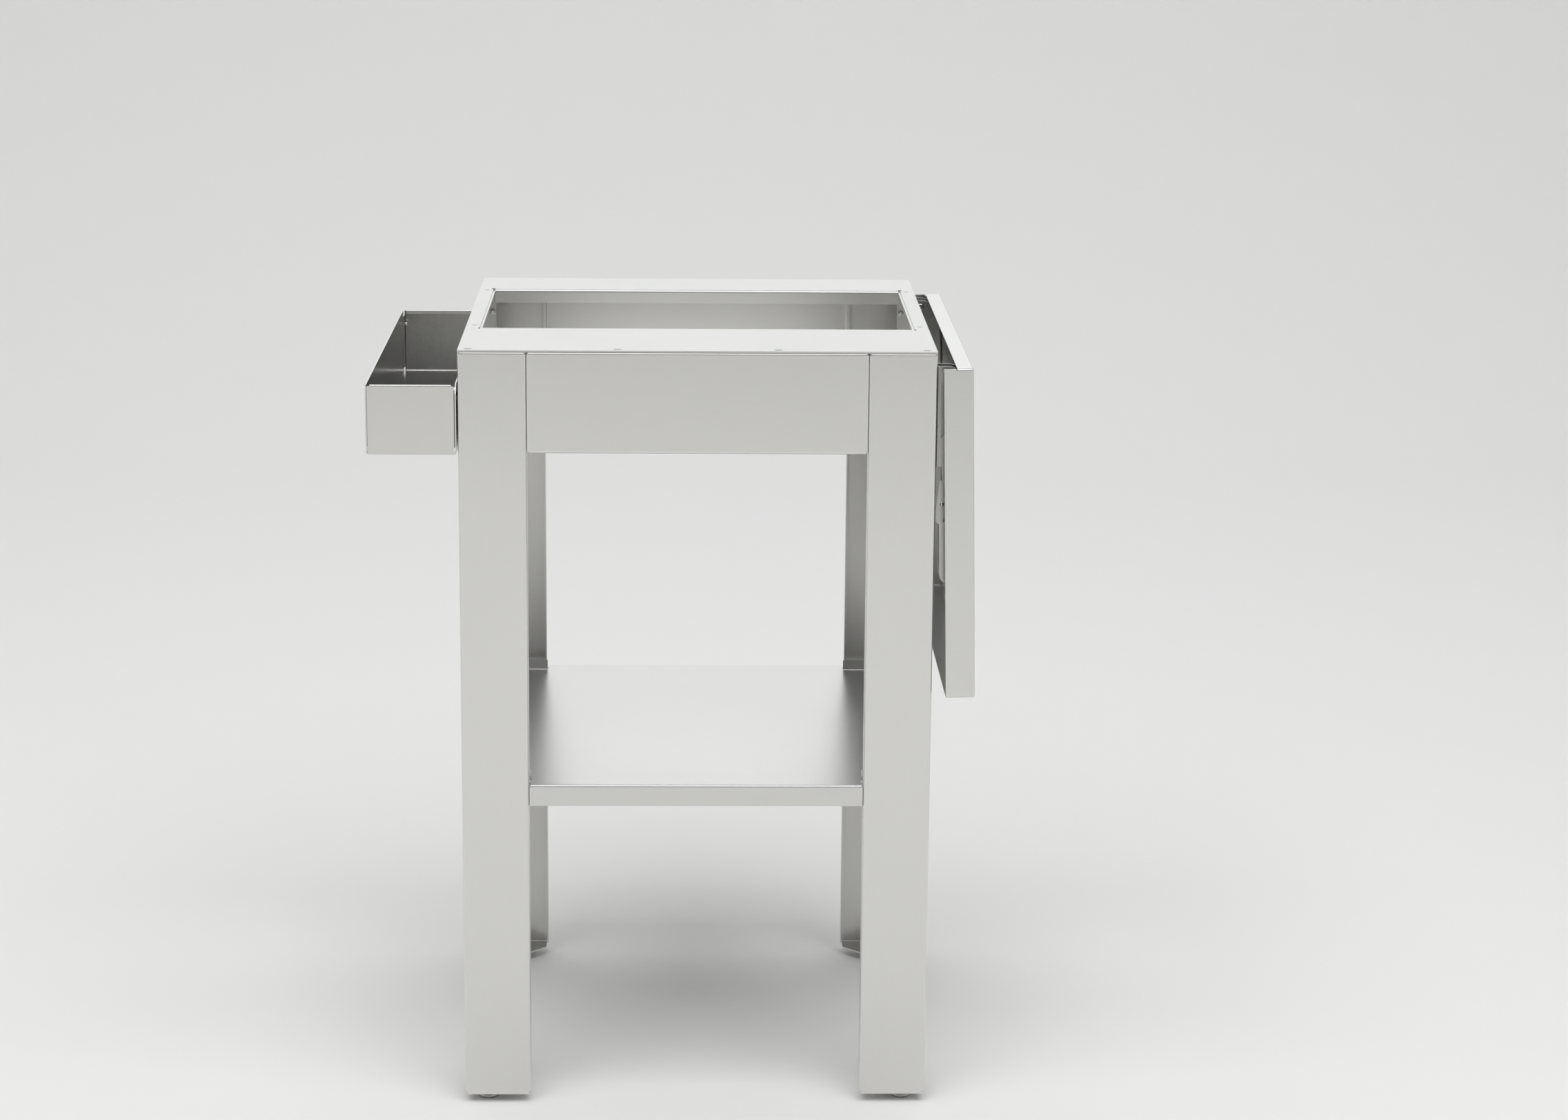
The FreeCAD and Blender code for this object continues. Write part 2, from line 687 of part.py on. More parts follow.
def wall_bracket():
    half = wall_channel / 2
    top = pivot_drop - hinge_lip - web_top_play
    low = -strut_drop - wall_tail
    outline = [(-pivot_out, low, 0), (web_reach, low, web_reach), (web_reach, top, web_reach / 2),
               (-pivot_out, top, 0)]
    shape = channel(half_width, hinge_x + web_reach, half, bracket_sheet)
    shape = shape.common(bracket_outline(outline, half))
    holes = [cross_pin(0, 0, pin_radius, half), cross_pin(0, -strut_drop, pin_radius, half)]
    near, far = half_width, half_width + flange
    holes += [rod(bolt_hole, (near, -bracket_y, z), (far, -bracket_y, z)) for z in wall_bolts]
    return shape.cut(holes)


# Where the strut's far end is, seen from the hinge axis of the hanging table, at a fold angle in radians
def guide_point(fold):
    swing = slot_start + (strut_ratio - 1) * fold
    return (strut_length * math.sin(swing) - strut_drop * math.sin(fold),
            -strut_length * math.cos(swing) - strut_drop * math.cos(fold))


def guide_slot():
    half = pin_radius + slot_play
    folds = [math.radians(raised_angle) * step / (slot_samples - 1) for step in range(slot_samples)]
    points = [guide_point(fold) for fold in folds]
    step = math.radians(raised_angle) / slot_fineness
    courses = [heading(guide_point(fold - step), guide_point(fold + step)) for fold in folds]

    def place(point):
        return V(hinge_x + point[0], -bracket_y - arm_half, hinge_z + point[1])

    def side(amount):
        curve = Part.BSplineCurve()
        curve.interpolate([place(leftward(p, c, amount)) for p, c in zip(points, courses)])
        return curve.toShape()

    def cap(point, course, way):
        ends = [place(leftward(point, course, amount)) for amount in (half, -half)]
        return Part.Arc(ends[0], place(along(point, course, way * half)), ends[1]).toShape()

    edges = [side(half), side(-half), cap(points[0], courses[0], -1), cap(points[-1], courses[-1], 1)]
    return Part.Face(Part.Wire(Part.__sortEdges__(edges))).extrude(V(0, 2 * arm_half, 0))


def table_arm():
    inner = table_inner - bracket_sheet
    low = guide_point(0)[1] - arm_end
    top = pivot_out - table_gap - outer_bend - web_play
    step = arm_waist + arm_edge
    eye_round = eye_radius * eye_share
    outline = [(table_inner, low, 0), (table_inner, top, 0), (-eye_radius, top, eye_round),
               (-eye_radius, -eye_radius, eye_round), (arm_waist, -2 * eye_radius, arm_round),
               (arm_waist, -arm_step_drop, arm_round), (-arm_edge, -arm_step_drop - step, arm_round),
               (-arm_edge_low, -arm_edge_drop, 0), (-arm_tail, -arm_tail_drop, 0),
               (-arm_tail, low, arm_end_round)]
    shape = channel(hinge_x + table_inner, hinge_x - arm_tail - eye_radius, arm_half, bracket_sheet)
    shape = shape.common(bracket_outline(outline, arm_half))
    holes = [cross_pin(0, 0, pin_radius + pin_play, arm_half), guide_slot(),
             cross_pin(arm_hole_across, -arm_hole_drop, arm_hole_radius, arm_half)]
    x, z = hinge_x + lever_across, hinge_z - lever_drop
    holes.append(rod(lever_rivet_radius, (x, -bracket_y - arm_half, z), (x, -bracket_y, z)))
    for drop in arm_stud_drops:
        z = hinge_z - drop
        holes.append(rod(bolt_hole, (hinge_x + inner - bracket_sheet, -bracket_y, z),
                         (hinge_x + table_inner, -bracket_y, z)))
    return hung(shape.cut(holes))


def strut():
    end_round = strut_half * strut_share
    low, top = -strut_drop - strut_length - strut_half, -strut_drop + strut_half
    outline = [(-strut_half, top, end_round), (-strut_half, low, end_round),
               (strut_half, low, end_round), (strut_half, top, end_round)]
    shape = channel(hinge_x - strut_half, hinge_x + strut_half, strut_half_width, strut_sheet)
    shape = shape.common(bracket_outline(outline, strut_half_width))
    holes = [cross_pin(0, -strut_drop, pin_radius + pin_play, strut_half_width),
             cross_pin(0, -strut_drop - strut_length, pin_radius, strut_half_width)]
    return shape.cut(holes)


def strut_turned(shape):
    angle = math.degrees(slot_start) + strut_ratio * rest_tilt
    return turned(shape, angle, (hinge_x, 0, hinge_z - strut_drop), (0, -1, 0))


# The release lever lies on the arm's outer web, and its rivet goes through both
lever_inner = arm_half + web_play
lever_outer = lever_inner + lever_sheet


def release_lever():
    x, z = lever_across, -lever_drop
    wide, slim, tip = lever_rounds
    outline = [(x - lever_back, z - lever_down + lever_heel, wide),
               (x - lever_back + lever_sole, z - lever_down, slim),
               (x + lever_front, z - lever_front, slim), (x + lever_front, z + lever_front, slim),
               (x, z + lever_up, tip), (x - lever_tip, z + lever_up, tip),
               (x - lever_back, z - lever_front, wide)]
    placed = [(hinge_x + u, hinge_z + v, radius) for u, v, radius in outline]
    shape = plate(placed, "front", -bracket_y - lever_outer, -bracket_y - lever_inner)
    hole = rod(lever_rivet_radius + pin_play, (hinge_x + x, -bracket_y - lever_outer, hinge_z + z),
               (hinge_x + x, -bracket_y, hinge_z + z))
    return hung(shape.cut(hole))


def lever_rivet():
    x, z = hinge_x + lever_across, hinge_z - lever_drop
    inner = -bracket_y - arm_half + bracket_sheet
    outer = -bracket_y - lever_outer - web_play
    shank = rod(lever_rivet_radius, (x, outer, z), (x, inner, z))
    head = rod(lever_head_radius, (x, outer - rivet_head_height, z), (x, outer, z))
    return hung(fused([shank, head]))


def hinge_pin():
    head_from = arm_half + web_play
    shank = cross_pin(0, 0, pin_radius, head_from)
    heads = []
    for side in (-1, 1):
        start = -bracket_y + side * head_from
        heads.append(rod(pin_head_radius, (hinge_x, start, hinge_z),
                         (hinge_x, start + side * pin_head_height, hinge_z)))
    return fused([shank] + heads)


def make_brackets():
    pins = {"wall_bracket": wall_bracket(), "table_arm": table_arm(), "strut": strut_turned(strut()),
            "release_lever": release_lever(), "hinge_pin": hinge_pin(),
            "strut_pin": cross_pin(0, -strut_drop, pin_radius, wall_channel / 2),
            "guide_pin": strut_turned(cross_pin(0, -strut_drop - strut_length, pin_radius, arm_half))}
    for name, shape in pins.items():
        save(name + "_front", shape)
        save(name + "_rear", mirrored(shape, False, True))
    rivet = lever_rivet()
    save("lever_rivets", [rivet, mirrored(rivet, False, True)])
    screws, nuts, studs, stud_nuts = [], [], [], []
    for rear in (False, True):
        for z in wall_bolts:
            at = (half_width + bracket_sheet, -bracket_y, z)
            screws.append(mirrored(screw(at, (-1, 0, 0), bracket_sheet + sheet), False, rear))
            nuts.append(mirrored(dome_nut((half_width - sheet, -bracket_y, z), (-1, 0, 0)), False, rear))
        for drop in arm_stud_drops:
            x, z = hinge_x + table_inner, hinge_z - drop
            stud = rod(bolt_radius, (x - arm_stud_reach, -bracket_y, z), (x, -bracket_y, z))
            studs.append(mirrored(hung(stud), False, rear))
            holder = nut((x - bracket_sheet, -bracket_y, z), (-1, 0, 0))
            stud_nuts.append(mirrored(hung(holder), False, rear))
    save("bracket_screws", screws)
    save("bracket_dome_nuts", nuts)
    save("arm_studs", studs)
    save("arm_nuts", stud_nuts)


make_legs()
make_panels()
make_plate()
make_plate_fasteners()
make_leg_bolts()
make_shelf()
make_tray()
make_tray_fasteners()
make_feet()
make_table()
make_brackets()
print("stand_x %.4f, hinge at %.3f, %.3f" % (stand_x, hinge_x + stand_x, hinge_z))
print("strut ratio %.6f" % strut_ratio)
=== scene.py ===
import bpy
import bmesh
import json
import math
from mathutils import Matrix, Vector


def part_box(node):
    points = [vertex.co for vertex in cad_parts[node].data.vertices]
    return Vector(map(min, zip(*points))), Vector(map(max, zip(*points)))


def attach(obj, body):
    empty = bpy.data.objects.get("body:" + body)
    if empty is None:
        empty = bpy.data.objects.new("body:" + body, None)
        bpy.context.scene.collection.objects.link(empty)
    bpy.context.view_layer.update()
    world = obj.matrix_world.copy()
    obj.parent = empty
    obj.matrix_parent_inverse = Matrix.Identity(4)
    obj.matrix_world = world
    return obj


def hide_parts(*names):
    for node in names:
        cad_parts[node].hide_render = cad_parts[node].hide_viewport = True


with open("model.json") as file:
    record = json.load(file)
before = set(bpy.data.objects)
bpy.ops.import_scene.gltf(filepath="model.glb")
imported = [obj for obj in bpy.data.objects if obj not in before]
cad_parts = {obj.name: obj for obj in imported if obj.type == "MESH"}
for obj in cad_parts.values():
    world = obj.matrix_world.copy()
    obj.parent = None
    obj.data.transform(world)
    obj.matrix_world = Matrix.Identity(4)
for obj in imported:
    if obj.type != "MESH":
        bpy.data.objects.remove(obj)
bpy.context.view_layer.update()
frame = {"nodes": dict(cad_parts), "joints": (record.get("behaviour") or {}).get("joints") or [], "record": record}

nodes = frame["nodes"]
print("frame loaded:", len(nodes), "nodes")


# One socket of a finish; maths on it is written as a Python expression
class Strand:
    def __init__(self, tree, socket=None):
        self.tree = tree
        self.socket = socket

    def node(self, kind, settings=None, sockets=None, out=0):
        made = self.tree.nodes.new("ShaderNode" + kind)
        for key, value in (settings or {}).items():
            setattr(made, key, value)
        for key, value in (sockets or {}).items():
            if isinstance(value, Strand):
                self.tree.links.new(value.socket, made.inputs[key])
            else:
                made.inputs[key].default_value = value
        return Strand(self.tree, made.outputs[out] if made.outputs else None)

    def maths(self, how, a, b):
        return self.node("Math", {"operation": how}, {0: a, 1: b})

    def __add__(self, other):
        return self.maths("ADD", self, other)

    def __radd__(self, other):
        return self.maths("ADD", other, self)

    def __sub__(self, other):
        return self.maths("SUBTRACT", self, other)

    def __rsub__(self, other):
        return self.maths("SUBTRACT", other, self)

    def __mul__(self, other):
        return self.maths("MULTIPLY", self, other)

    def __rmul__(self, other):
        return self.maths("MULTIPLY", other, self)

    def above(self, level):
        return self.maths("GREATER_THAN", self, level)

    def between(self, low, high):               # low where the strand is 0, high where it is 1
        return low + self * (high - low)

    def tint(self, low, high):                  # the same for colours
        return self.node("Mix", {"data_type": "RGBA"}, {0: self, 6: (*low, 1), 7: (*high, 1)}, 2)

    def stretched(self, scale):
        return self.node("VectorMath", {"operation": "MULTIPLY"}, {0: self, 1: scale})

    def noise(self, scale, detail, rough):
        return self.node("TexNoise", {}, {"Vector": self, "Scale": scale, "Detail": detail,
                                          "Roughness": rough})


def newFinish(name):
    finish = bpy.data.materials.new(name)
    finish.use_nodes = True
    finish.node_tree.nodes.clear()
    return finish, Strand(finish.node_tree)


def closeFinish(start, sockets):
    skin = start.node("BsdfPrincipled", {}, sockets)
    start.node("OutputMaterial", {}, {"Surface": skin})


# Brushed stainless: fine grain along one axis of the piece, longer streaks, and soft clouds from handling
steel = {
    "light": (0.755, 0.75, 0.734),
    "deep": (0.689, 0.684, 0.668),
    "rough": (0.25, 0.35),
    "hairs": 1500.0,                    # grain lines per metre across the grain
    "hairLength": 0.012,                # along the grain, as a share of that
    "hairNoise": (2.0, 0.6),            # detail and roughness of the noise
    "streaks": 150.0,
    "streakLength": 0.016,
    "streakNoise": (4.0, 0.65),
    "clouds": 6.0,
    "cloudNoise": (3.0, 0.5),
    "toneShares": (0.45, 0.2, 0.35),    # of hairs, streaks and clouds in the colour
    "wearShares": (0.35, 0.65),         # of streaks and clouds in the roughness
    "endOn": 0.7,                       # a face turned this far along the grain has its grain the other way
    "bump": 0.03,
    "depth": 0.00005,
}


def grainScale(axis, across, share):
    scale = [across] * 3
    scale[axis] = across * share
    return tuple(scale)


alongX, alongY, alongZ = range(3)


# The grain runs along one axis, and along another on the faces that stand across it
def steelFinish(name, grain, endGrain, look=None):
    s = {**steel, **(look or {})}
    finish, start = newFinish(name)
    place = start.node("TexCoord", out="Object")
    facing = start.node("TexCoord", out="Normal")
    parts = start.node("VectorMath", {"operation": "ABSOLUTE"}, {0: facing})
    endOn = start.node("SeparateXYZ", {}, {0: parts}, grain).above(s["endOn"])
    hairs, streaks = [], []
    for axis in (grain, endGrain):
        hairPlace = place.stretched(grainScale(axis, s["hairs"], s["hairLength"]))
        streakPlace = place.stretched(grainScale(axis, s["streaks"], s["streakLength"]))
        hairs.append(hairPlace.noise(1.0, *s["hairNoise"]))
        streaks.append(streakPlace.noise(1.0, *s["streakNoise"]))
    hair = endOn.between(*hairs)
    streak = endOn.between(*streaks)
    cloud = place.noise(s["clouds"], *s["cloudNoise"])
    hairTone, streakTone, cloudTone = s["toneShares"]
    streakWear, cloudWear = s["wearShares"]
    tone = hair * hairTone + streak * streakTone + cloud * cloudTone
    worn = streak * streakWear + cloud * cloudWear
    bump = start.node("Bump", {}, {"Strength": s["bump"], "Distance": s["depth"], "Height": hair + streak})
    closeFinish(start, {"Base Color": tone.tint(s["deep"], s["light"]), "Metallic": 1.0,
                        "Roughness": worn.between(*s["rough"]), "Normal": bump})
    return finish


# Turned and pressed small steel: no grain, a little mottled
smallSteel = {
    "mottleNoise": (4.0, 0.6),          # detail and roughness of the noise
    "fine": 9,                          # times finer than the mottle
    "fineNoise": (2.0, 0.5),
    "toneShares": (0.7, 0.3),           # of mottle and fine noise
    "depth": 0.0001,
}


def smallSteelFinish(name, look):
    s = {**smallSteel, **look}
    finish, start = newFinish(name)
    place = start.node("TexCoord", out="Object")
    mottle = place.noise(s["mottle"], *s["mottleNoise"])
    fine = place.noise(s["mottle"] * s["fine"], *s["fineNoise"])
    mottleTone, fineTone = s["toneShares"]
    tone = mottle * mottleTone + fine * fineTone
    bump = start.node("Bump", {}, {"Strength": s["bump"], "Distance": s["depth"], "Height": fine})
    closeFinish(start, {"Base Color": tone.tint(s["deep"], s["light"]), "Metallic": 1.0,
                        "Roughness": tone.between(*s["rough"]), "Normal": bump})
    return finish


legSteel = steelFinish("legSteel", alongZ, alongX)
widePanelSteel = steelFinish("widePanelSteel", alongX, alongZ)
sidePanelSteel = steelFinish("sidePanelSteel", alongY, alongZ)
plate = {"light": (0.70, 0.696, 0.684), "deep": (0.639, 0.635, 0.623)}
topSteel = steelFinish("topSteel", alongX, alongZ, {**plate, "rough": (0.28, 0.42)})
shelfSteel = steelFinish("shelfSteel", alongX, alongZ, {**plate, "rough": (0.25, 0.36)})
traySteel = steelFinish("traySteel", alongY, alongX, {"light": (0.645, 0.64, 0.625),
                                                      "deep": (0.584, 0.579, 0.564), "rough": (0.16, 0.24)})
tableSteel = steelFinish("tableSteel", alongY, alongX, {"light": (0.72, 0.716, 0.702),
                                                        "deep": (0.657, 0.653, 0.639)})
bracketSteel = smallSteelFinish("bracketSteel", {"light": (0.60, 0.60, 0.58), "deep": (0.44, 0.44, 0.43),
                                                 "rough": (0.22, 0.42), "mottle": 160.0, "bump": 0.08})
boltSteel = smallSteelFinish("boltSteel", {"light": (0.70, 0.69, 0.67), "deep": (0.52, 0.51, 0.50),
                                           "rough": (0.14, 0.26), "mottle": 420.0, "bump": 0.04})
armSteel = smallSteelFinish("armSteel", {"light": (0.68, 0.68, 0.66), "deep": (0.54, 0.54, 0.53),
                                         "rough": (0.26, 0.40), "mottle": 160.0, "bump": 0.08})
# Stud steel is bolt steel painted darker: it stands in for the shade round the top plate's studs
studSteel = smallSteelFinish("studSteel", {"light": (0.40, 0.40, 0.39), "deep": (0.29, 0.29, 0.28),
                                           "rough": (0.30, 0.45), "mottle": 420.0, "bump": 0.06})
footSteel = smallSteelFinish("footSteel", {"light": (0.56, 0.56, 0.54), "deep": (0.45, 0.45, 0.44),
                                           "rough": (0.26, 0.36), "mottle": 300.0, "bump": 0.05})

# By the start of a node's name; small fasteners are bolt steel or, in the top plate, stud steel with painted shade
finishOf = {
    "leg_": legSteel, "front_panel": widePanelSteel, "rear_panel": widePanelSteel,
    "left_panel": sidePanelSteel, "right_panel": sidePanelSteel, "top_plate": topSteel,
    "shelf": shelfSteel, "tray": traySteel, "side_table": tableSteel, "wall_bracket": bracketSteel,
    "table_arm": armSteel, "strut_": bracketSteel, "release_lever": bracketSteel, "foot_pad": footSteel,
}
small = ("screws", "nuts", "studs", "stud_", "pin_", "rivets", "spacers")
for name, piece in nodes.items():
    finish = next((finishOf[start] for start in finishOf if name.startswith(start)), boltSteel)
    if any(word in name for word in small):
        finish = studSteel if name == "plate_studs" else boltSteel
    piece.data.materials.clear()
    piece.data.materials.append(finish)
print("finishes set")

record = frame["record"]
bodyOf = {node: body for body, members in record["behaviour"]["bodies"].items() for node in members}
topLow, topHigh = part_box("top_plate")
standMiddle = (topLow + topHigh) / 2
trayLow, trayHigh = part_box("tray")
trayMiddle = (trayLow + trayHigh) / 2
tableFold = next(joint for joint in frame["joints"] if joint["name"] == "table_fold")
hang = math.radians(90 - tableFold["range_deg"][1])      # the table's lean at rest
tableOut = Vector((math.cos(hang), 0, math.sin(hang)))   # square to the hanging table

turning = {
    "solidWeld": 1e-6,          # points of a CAD solid this close are one
    "weld": 1e-7,               # the same for a turned piece
    "sharp": 32,                # degrees from which an edge stays sharp
}


# The middle and half size of each separate solid of a CAD node
def islands(node):
    solid = bmesh.new()
    solid.from_mesh(nodes[node].data)
    bmesh.ops.remove_doubles(solid, verts=solid.verts, dist=turning["solidWeld"])
    met = set()
    found = []
    for first in solid.verts:                   # in the mesh's own order, the same on each run
        if first in met:
            continue
        met.add(first)
        reached = [first]
        low, high = first.co.copy(), first.co.copy()
        while reached:
            vert = reached.pop()
            low = Vector(map(min, low, vert.co))
            high = Vector(map(max, high, vert.co))
            for edge in vert.link_edges:
                other = edge.other_vert(vert)
                if other not in met:
                    met.add(other)
                    reached.append(other)
        found.append(((low + high) / 2, (high - low) / 2))
    solid.free()
    return found


# Local Z points ahead, along the axis of the turned piece
def axisPlace(middle, ahead):
    side = Vector((0, 0, 1)) if abs(ahead.z) < 0.5 else Vector((1, 0, 0))
    side = (side - ahead * side.dot(ahead)).normalized()
    turn = Matrix((side, ahead.cross(side), ahead)).transposed().to_4x4()
    return Matrix.Translation(middle) @ turn


# Rows of height and radius round an axis; a radius may depend on the angle
def lathe(solid, rows, place, sides, loop):
    rings = []
    for height, radius in rows:
        ring = []
        for step in range(sides):
            angle = math.tau * step / sides
            reach = radius(angle) if callable(radius) else radius
            point = Vector((reach * math.cos(angle), reach * math.sin(angle), height))
            ring.append(solid.verts.new(place @ point))
        rings.append(ring)
    for low, high in zip(rings, rings[1:] + rings[:1] if loop else rings[1:]):
        for step in range(sides):
            after = (step + 1) % sides
            solid.faces.new((low[step], low[after], high[after], high[step]))


# A hexagon whose corners may be cut back to a limit
def hexagon(flat, limit=math.inf):
    return lambda angle: min(flat / math.cos(angle % (math.pi / 3) - math.pi / 6), limit)


# One crest a turn, climbing by the pitch
def thread(core, depth, pitch, height):
    return lambda angle: core + depth * abs(2 * ((height / pitch - angle / math.tau) % 1) - 1)


# Each solid of the node is replaced by a turned piece on the same axis
def turnedGroup(name, node, rowsFor, axisFor, sides, loop=False, finish=boltSteel):
    solid = bmesh.new()
    for middle, half in islands(node):
        lathe(solid, rowsFor(half), axisPlace(middle, axisFor(middle, half)), sides, loop)
    bmesh.ops.remove_doubles(solid, verts=solid.verts, dist=turning["weld"])
    bmesh.ops.recalc_face_normals(solid, faces=solid.faces)
    mesh = bpy.data.meshes.new(name)
    solid.to_mesh(mesh)
    solid.free()
    for face in mesh.polygons:
        face.use_smooth = True
    mesh.set_sharp_from_angle(angle=math.radians(turning["sharp"]))
    mesh.materials.append(finish)
    piece = bpy.data.objects.new(name, mesh)
    bpy.context.scene.collection.objects.link(piece)
    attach(piece, bodyOf[node])
    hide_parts(node)


# Ways that the axis of a turned piece can point
def along(index, sign):
    axis = Vector((0, 0, 0))
    axis[index] = sign
    return axis


def shortInward(middle, half):
    index = min(range(3), key=lambda k: half[k])
    return along(index, -math.copysign(1, (middle - standMiddle)[index]))


def longOutward(middle, half):
    index = max(range(3), key=lambda k: half[k])
    return along(index, math.copysign(1, (middle - standMiddle)[index]))


def upward(middle, half):
    return Vector((0, 0, 1))


def rearward(middle, half):
    return Vector((0, 1, 0))


def fromTable(middle, half):
    return tableOut


def fromTrayMiddle(middle, half):
    return along(alongX, math.copysign(1, (middle - trayMiddle).x))


def toFrontOrRear(middle, half):
    return along(alongY, math.copysign(1, middle.y))


# FrontLeft and so on, from the end of a node's name
def placeName(node, start):
    return node[len(start):].title().replace("_", "")


domeNut = {
    "flat": 0.0035, "corner": 0.00388, "hex": 0.0032, "dome": 0.0032, "cap": 0.0030,
    "seatCut": 0.0003, "shoulderCut": 0.0006, "lip": 0.0001, "steps": 9, "sides": 36,
}


def domeNutRows(half):
    d = domeNut
    base = -(d["hex"] + d["cap"]) / 2
    shoulder = base + d["hex"]
    rounded = hexagon(d["flat"], d["flat"])
    rows = [(base, 0.0), (base, rounded), (base + d["seatCut"], hexagon(d["flat"], d["corner"]))]
    rows += [(shoulder - d["shoulderCut"], hexagon(d["flat"])), (shoulder - d["lip"], rounded)]
    rows.append((shoulder, d["dome"] + d["lip"]))
    for step in range(d["steps"] + 1):
        angle = math.pi / 2 * step / d["steps"]
        rows.append((shoulder + d["cap"] * math.sin(angle), d["dome"] * math.cos(angle)))
    return rows


joined = ("panel", "shelf", "tray", "bracket")           # what the screws and dome nuts hold
for group in joined:
    turnedGroup(group + "DomeNuts", group + "_dome_nuts", domeNutRows, shortInward, domeNut["sides"])

buttonScrew = {
    "shank": 0.002, "lead": 0.0003, "head": 0.0038, "height": 0.0024, "seatCut": 0.0001, "seatEdge": 0.0002,
    "brim": 0.0004, "socket": 0.00125, "socketDepth": 0.0014, "socketRim": 0.0006, "socketPoint": 0.0003,
    "steps": 7, "sides": 36,
}


def buttonScrewRows(half):
    b = buttonScrew
    end = max(half)
    seat = end - b["height"]
    rows = [(-end, 0.0), (-end, b["shank"] - b["lead"]), (b["lead"] - end, b["shank"]), (seat, b["shank"])]
    rows += [(seat, b["head"] - b["seatCut"]), (seat + b["seatEdge"], b["head"])]
    rim = b["socket"] + b["socketRim"]
    for step in range(b["steps"] + 1):
        angle = math.pi / 2 * step / b["steps"]
        rows.append((seat + b["brim"] + (b["height"] - b["brim"]) * math.sin(angle),
                     rim + (b["head"] - rim) * math.cos(angle)))
    bottom = end - b["socketDepth"]
    rows += [(end, hexagon(b["socket"])), (bottom, hexagon(b["socket"]))]
    return rows + [(bottom - b["socketPoint"], 0.0)]


for group in joined:
    turnedGroup(group + "Screws", group + "_screws", buttonScrewRows, longOutward, buttonScrew["sides"])

hexNut = {"cornerCut": 0.12, "boreCut": 0.12, "sides": 48}      # cuts as shares of the flat and the bore
hexNuts = {
    "plate_nuts": {"flat": 0.0035, "height": 0.0032, "bore": 0.002, "axis": upward},
    "arm_nuts": {"flat": 0.0035, "height": 0.0032, "bore": 0.002, "axis": fromTable},
    "foot_nuts": {"flat": 0.0065, "height": 0.0065, "bore": 0.004, "axis": upward},
}


def hexNutRows(n):
    top, flat, bore = n["height"] / 2, n["flat"], n["bore"]
    cut, lead = flat * hexNut["cornerCut"], bore * hexNut["boreCut"]
    return [(-top, hexagon(flat, flat)), (cut - top, hexagon(flat)), (top - cut, hexagon(flat)),
            (top, hexagon(flat, flat)), (top, bore + lead), (top - lead, bore), (lead - top, bore),
            (-top, bore + lead)]


for node, look in hexNuts.items():
    turnedGroup(node.replace("_n", "N"), node, lambda half, n=look: hexNutRows(n), look["axis"],
                hexNut["sides"], True)

studShape = {"rowsPerTurn": 4, "sides": 24}
studs = {
    "arm": {"radius": 0.002, "length": 0.0074, "pitch": 0.0007, "depth": 0.00036},
    "foot": {"radius": 0.004, "length": 0.034, "pitch": 0.00125, "depth": 0.00066},
}


def studRows(n):
    end, lead, core = n["length"] / 2, n["pitch"] / 2, n["radius"] - n["depth"]
    start, stop = lead - end, end - lead
    count = math.ceil((stop - start) / n["pitch"] * studShape["rowsPerTurn"])
    heights = [start + (stop - start) * step / count for step in range(count + 1)]
    threaded = [(height, thread(core, n["depth"], n["pitch"], height)) for height in heights]
    return [(-end, 0.0), (-end, core)] + threaded + [(end, core), (end, 0.0)]


turnedGroup("armStuds", "arm_studs", lambda half: studRows(studs["arm"]), fromTable, studShape["sides"])
for node in [node for node in nodes if node.startswith("foot_stud_")]:
    turnedGroup("footStud" + placeName(node, "foot_stud_"), node, lambda half: studRows(studs["foot"]),
                upward, studShape["sides"])

# A pressed pad: hollow sole, rounded rim, hollowed shoulder and a neck round the stud
footPad = {
    "radius": 0.0125, "rim": 0.0045, "rimSteps": 8, "bulge": 0.7,        # share by which the rim rounds
    "sole": 0.0004, "soleReach": 0.62, "rimReach": 0.68,                 # shares of the radius
    "neck": 0.007, "neckCut": 0.0003, "bore": 0.00405, "shoulderSteps": 7, "sides": 64,
}


def footPadRows(half):
    f = footPad
    base, top = -half.z, half.z
    edge = f["rim"] / 2
    rounding = edge * f["bulge"]
    sole = base + f["sole"]
    rows = [(sole, 0.0), (sole, f["radius"] * f["soleReach"]), (base, f["radius"] * f["rimReach"])]
    for step in range(f["rimSteps"] + 1):
        angle = math.pi * (step / f["rimSteps"] - 0.5)
        rows.append((base + edge + edge * math.sin(angle), f["radius"] - rounding * (1 - math.cos(angle))))
    low, start = base + f["rim"], f["radius"] - rounding
    for step in range(1, f["shoulderSteps"] + 1):
        angle = math.pi / 2 * step / f["shoulderSteps"]
        rows.append((low + (top - low - f["neckCut"]) * (1 - math.cos(angle)),
                     f["neck"] + (start - f["neck"]) * (1 - math.sin(angle))))
    return rows + [(top, f["neck"] - f["neckCut"]), (top, f["bore"]), (base + edge, f["bore"]),
                   (base + edge, 0.0)]


for node in [node for node in nodes if node.startswith("foot_pad_")]:
    turnedGroup("footPad" + placeName(node, "foot_pad_"), node, footPadRows, upward, footPad["sides"],
                finish=footSteel)

# Blind rivets: low dome with the mandrel's dimple outside, a bulged tail inside
blindRivet = {
    "shank": 0.0016, "head": 0.0032, "dome": 0.0010, "grip": 0.0032, "bulge": 0.0022,
    "tail": ((0.0, 0.7), (0.0004, 1.1)),                         # height over the end, share of the shank
    "swell": 0.0012,                                             # where the bulge is full
    "waist": (0.0003, 1.1),                                      # depth below the grip, share of the shank
    "crown": ((0.0003, 0.97), (0.0007, 0.78)),                   # height over the seat, share of the head
    "dimple": ((0.0, 0.42), (0.0001, 0.33), (0.0006, 0.3)),      # depth below the top, share of the head
    "stem": 0.0005,                                              # depth of the mandrel's broken end
    "sides": 36,
}


